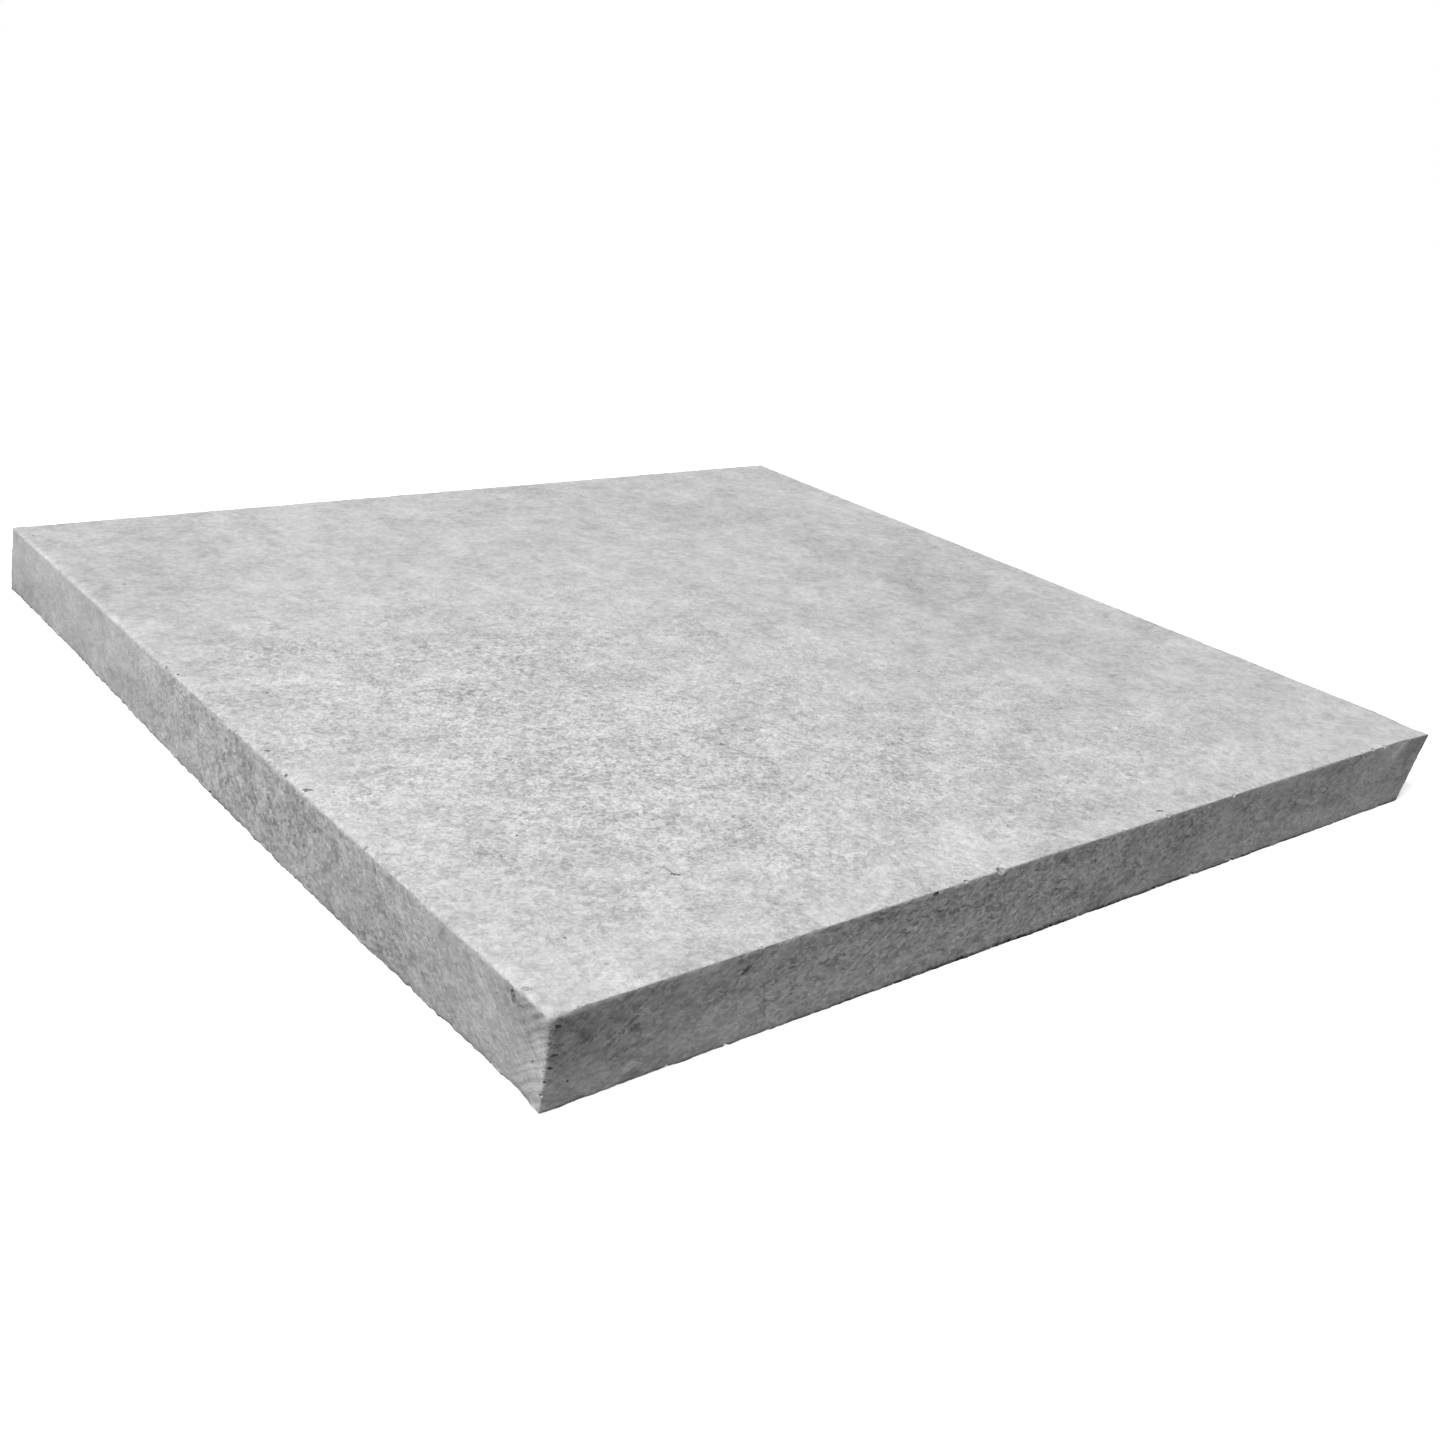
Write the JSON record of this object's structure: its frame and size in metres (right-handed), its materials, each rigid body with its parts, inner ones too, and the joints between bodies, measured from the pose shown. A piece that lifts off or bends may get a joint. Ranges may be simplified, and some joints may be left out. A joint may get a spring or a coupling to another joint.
{
  "type": "granite slab",
  "caption": "Square slab of light grey granite with a ground top, sawn sides and eased arrises, a hard base for stamping and tooling leather.",
  "frame": {"origin": "centre of the overall box, on the plane of the underside", "axes": "+Z out of the working face; +X and +Y along the square's sides, with the front corner at -X, -Y; the bowed sawn side faces -X"},
  "size_m": [0.3018, 0.3, 0.02],
  "materials": {
    "granite": "ground, unpolished, fine-grained light grey; sides as sawn"
  },
  "bodies": {
    "root": {"stone_slab": "granite"}
  },
  "joints": []
}
